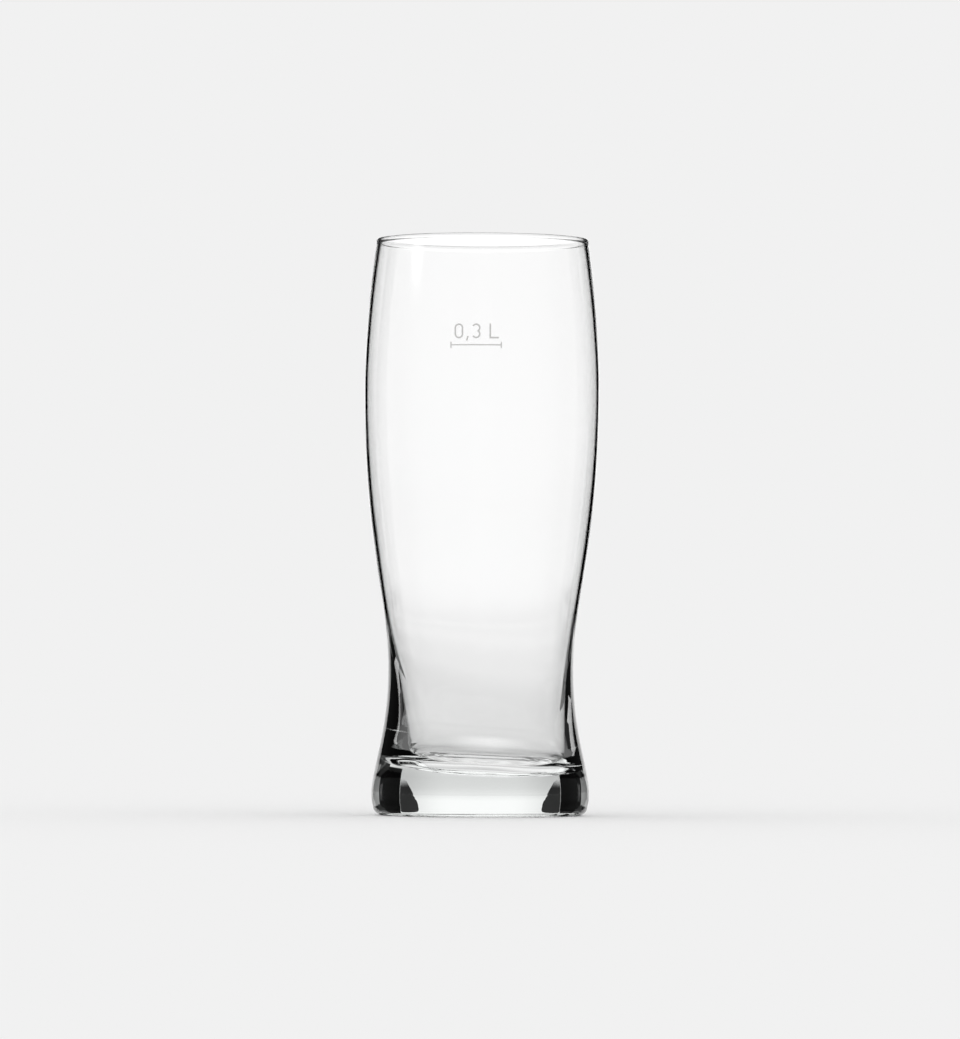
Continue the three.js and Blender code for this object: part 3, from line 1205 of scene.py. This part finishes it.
@dataclass(frozen=True)
class BrightField:
    """The cards that light the glass and draw its edges. Sizes are in metres.

    The dark cards are given for the right side. An edge holds the corners of a flat card.
    """

    panel_across: Point = (-5.0, 5.0)
    panel_distance: float = 4.0
    flag_distance: float = 0.112
    flag_edge: Outline = ((0.058, 0.048), (0.100, 0.048), (0.100, 0.4), (0.062, 0.4), (0.062, 0.075))
    flag_foot_edge: Outline = (
        (0.055, 0.0), (0.100, 0.0), (0.100, 0.048), (0.058, 0.048), (0.055, 0.030)
    )
    wall_across: float = 0.201
    wall_edge: Outline = (
        (-0.06, 0.0), (0.31, 0.0), (0.31, 0.065), (0.15, 0.055), (0.11, 0.036), (-0.06, 0.03)
    )
    low_wall_across: float = 0.2
    low_wall_tone: float = 0.42
    low_wall_edge: Outline = ((0.067, 0.0), (0.147, 0.0), (0.147, 0.03), (0.067, 0.03))
    grey_tone: float = 0.03
    disc_distance: float = 0.4
    disc_centre: Point = (0.2665, 0.050)
    disc_radii: Point = (0.0995, 0.075)
    disc_angles: range = range(90, 234, 11)
    wedge_distance: float = 0.401
    wedge_edge: Outline = (
        (0.188, 0.0), (0.2665, 0.0), (0.2665, 0.056), (0.225, 0.0406), (0.200, 0.0156)
    )
    wedge_fade: Point = (0.022, 0.056)
    side_distance: float = 0.13
    side_tone: float = 0.15
    side_edge: Outline = ((0.100, 0.042), (0.22, 0.042), (0.22, 0.6), (0.100, 0.6))
    side_foot_edge: Outline = ((0.112, 0.026), (0.22, 0.026), (0.22, 0.042), (0.112, 0.042))
    strip_across: float = 0.1
    strip_edge: Outline = (
        (-0.03, 0.0), (0.042, 0.0), (0.042, 0.024), (0.09, 0.024), (0.09, 0.042), (-0.03, 0.042)
    )
    sheet_across: float = 0.5
    sheet_edge: Outline = ((-0.1, 0.0), (0.8, 0.0), (0.8, 0.9), (-0.1, 0.9))
    sheet_middle: Point = (0.35, 0.05)
    right_sheet_tone: float = 0.6
    right_sheet_reach: Place = (1.0, 0.4, 0.8)
    left_sheet_tone: float = 0.5
    left_sheet_reach: Place = (1.0, 0.4, 0.35)
    softbox_across: float = -0.45
    softbox_tone: float = 1.6
    softbox_middle: Point = (-0.13, 0.29)
    softbox_reach: Place = (0.3, 0.11, 0.06)
    softbox_edge: Outline = ((-0.3, 0.2), (0.1, 0.2), (0.1, 0.4), (-0.3, 0.4))
    # Painted light: a glowing disc under the glass, with painted rings of light and shade, seen only
    # through the glass.
    under_radius: float = 0.0285
    under_height: float = -0.03 * MM
    under_painted_light_tone: float = 0.84
    painted_rings_under: PaintedRings = PaintedRings(pitch=7.0 * MM, share=0.2)
    # Painted shade: a grey patch lying on the floor beside the glass, seen only through the glass.
    aside_height: float = 0.1 * MM
    aside_edge: Outline = ((0.045, -0.01), (0.1, -0.01), (0.1, 0.033), (0.045, 0.033))
    # Painted light: a glowing patch on the floor just behind the glass, standing in for the light that the
    # glass focuses there.
    painted_caustic_tone: float = 0.22
    painted_caustic_glow: Glow = Glow(centre=(0.0, 0.06, 0.0), reach=(0.021, 0.03, 1.0))
    back_edge: Outline = ((-0.045, 0.03), (0.045, 0.03), (0.045, 0.09), (-0.045, 0.09))

    def panels(self) -> list[Card]:
        """Gives the white panel: its middle, its top and its foot, which meet in the same tone.

        Returns:
            The three cards.
        """
        left, right = self.panel_across
        lengths = (
            ("white_panel", 0.2, 2.0, 1.22, Falloff(foot_tone=1.13, low=0.75, high=1.2)),
            ("white_panel_top", 2.0, 6.0, 0.8, Falloff(foot_tone=1.22, low=2.0, high=5.0)),
            ("white_panel_foot", 0.0, 0.2, 1.13, Falloff(foot_tone=1.03, low=0.0, high=0.16)),
        )
        cards = []
        for name, low, high, tone, falloff in lengths:
            edge = ((left, low), (right, low), (right, high), (left, high))
            cards.append(
                Card.flat(name, Way.BEHIND, edge, self.panel_distance, tone, shading=falloff)
            )
        return cards

    def soft_lights(self) -> list[Card]:
        """Gives the softbox on the left and a pale sheet on each side.

        Returns:
            The three cards.
        """
        spot = Glow((self.softbox_across, *self.softbox_middle), self.softbox_reach)
        right_glow = Glow((self.sheet_across, *self.sheet_middle), self.right_sheet_reach)
        left_glow = Glow((-self.sheet_across, *self.sheet_middle), self.left_sheet_reach)
        box = (Way.BESIDE, self.softbox_edge, self.softbox_across, self.softbox_tone)
        right = (Way.BESIDE, self.sheet_edge, self.sheet_across, self.right_sheet_tone)
        left = (Way.BESIDE, self.sheet_edge, -self.sheet_across, self.left_sheet_tone)
        return [
            Card.flat("softbox", *box, shading=spot),
            Card.flat("pale_sheet_right", *right, shading=right_glow),
            Card.flat("pale_sheet_left", *left, shading=left_glow),
        ]

    def painted_light_patches(self) -> list[Card]:
        """Gives the painted light on the floor under the glass and behind it, which only the glass sees.

        Returns:
            The two cards.
        """
        turns = [math.radians(a) for a in range(0, 360, 10)]
        reach = self.under_radius
        disc = tuple((reach * math.cos(a), reach * math.sin(a)) for a in turns)
        # Both are painted light: a glowing disc under the glass with painted rings, and a painted pool of
        # focused light behind it.
        under = (Way.LYING, disc, self.under_height, self.under_painted_light_tone)
        back = (Way.LYING, self.back_edge, 0.0, self.painted_caustic_tone)
        return [
            Card.flat("bright_paper_under", *under, shading=self.painted_rings_under, in_table=False),
            Card.flat("bright_paper_behind", *back, shading=self.painted_caustic_glow, in_table=False),
        ]

    def dark_cards(self) -> list[Card]:
        """Gives the black and grey cards on the right, which draw the dark bands of the glass; one lies on
        the floor as painted shade.

        Returns:
            The ten cards.
        """
        (middle, level), (wide, tall) = self.disc_centre, self.disc_radii
        turns = [math.radians(a) for a in self.disc_angles]
        bow = ((middle + wide * math.cos(a), level + tall * math.sin(a)) for a in turns)
        disc = (Way.BEHIND, (*bow, (middle, 0.0)), self.disc_distance, self.grey_tone)
        flag = (Way.BEHIND, self.flag_edge, self.flag_distance, 0.0)
        flag_foot = (Way.BEHIND, self.flag_foot_edge, self.flag_distance, 0.0)
        wall = (Way.BESIDE, self.wall_edge, self.wall_across, 0.0)
        low_wall = (Way.BESIDE, self.low_wall_edge, self.low_wall_across, self.low_wall_tone)
        wedge = (Way.BEHIND, self.wedge_edge, self.wedge_distance, self.grey_tone)
        side = (Way.BEHIND, self.side_edge, self.side_distance, self.side_tone)
        side_foot = (Way.BEHIND, self.side_foot_edge, self.side_distance, self.grey_tone)
        strip = (Way.BESIDE, self.strip_edge, self.strip_across, self.grey_tone)
        # The grey patch lying on the floor is painted shade.
        aside = (Way.LYING, self.aside_edge, self.aside_height, self.side_tone)
        return [
            Card.flat("black_flag_right", *flag),
            Card.flat("black_flag_foot_right", *flag_foot, in_table=False),
            Card.flat("black_wall_right", *wall),
            Card.flat("grey_wall_right", *low_wall),
            Card.flat("grey_disc_right", *disc, in_table=False),
            Card.flat("grey_wedge_right", *wedge, top_fade=self.wedge_fade),
            Card.flat("dark_side_right", *side),
            Card.flat("dark_side_foot_right", *side_foot),
            Card.flat("black_strip_right", *strip),
            Card.flat("grey_paper_right", *aside, in_table=False),
        ]

    def cards(self) -> list[Card]:
        """Gives all the cards, the dark ones on both sides of the glass.

        Returns:
            The cards, in the order in which they are stood.
        """
        cards = [*self.panels(), *self.soft_lights(), *self.painted_light_patches()]
        for card in self.dark_cards():
            cards += [card, card.mirrored()]
        return cards


def set_view() -> None:
    """Sets the plain view transform and how often light is bent or reflected."""
    scene = bpy.context.scene
    scene.view_settings.view_transform = "Standard"
    scene.cycles.max_bounces = GLASS_BOUNCES
    scene.cycles.transmission_bounces = GLASS_BOUNCES
    scene.cycles.glossy_bounces = MIRROR_BOUNCES


def main() -> None:
    """Builds the camera, the pieces and the studio in order."""
    logging.basicConfig(level=logging.INFO, format="%(message)s")
    set_view()
    camera = Camera().build()
    body = TumblerBody.from_frame()
    glass = body.build()
    body.dress(glass, SodaLimeGlass())
    LOG.info("piece %s: %d faces", glass.name, len(glass.data.polygons))
    enamel = FiredEnamel().material()
    print_mark = CapacityMark(body)
    for mark in Mark:
        piece = print_mark.build(mark)
        print_mark.dress(piece, mark, enamel)
        LOG.info("piece %s: %d faces", piece.name, len(piece.data.polygons))
    Studio().build(BrightField().cards(), camera)


if __name__ == "__main__":
    main()
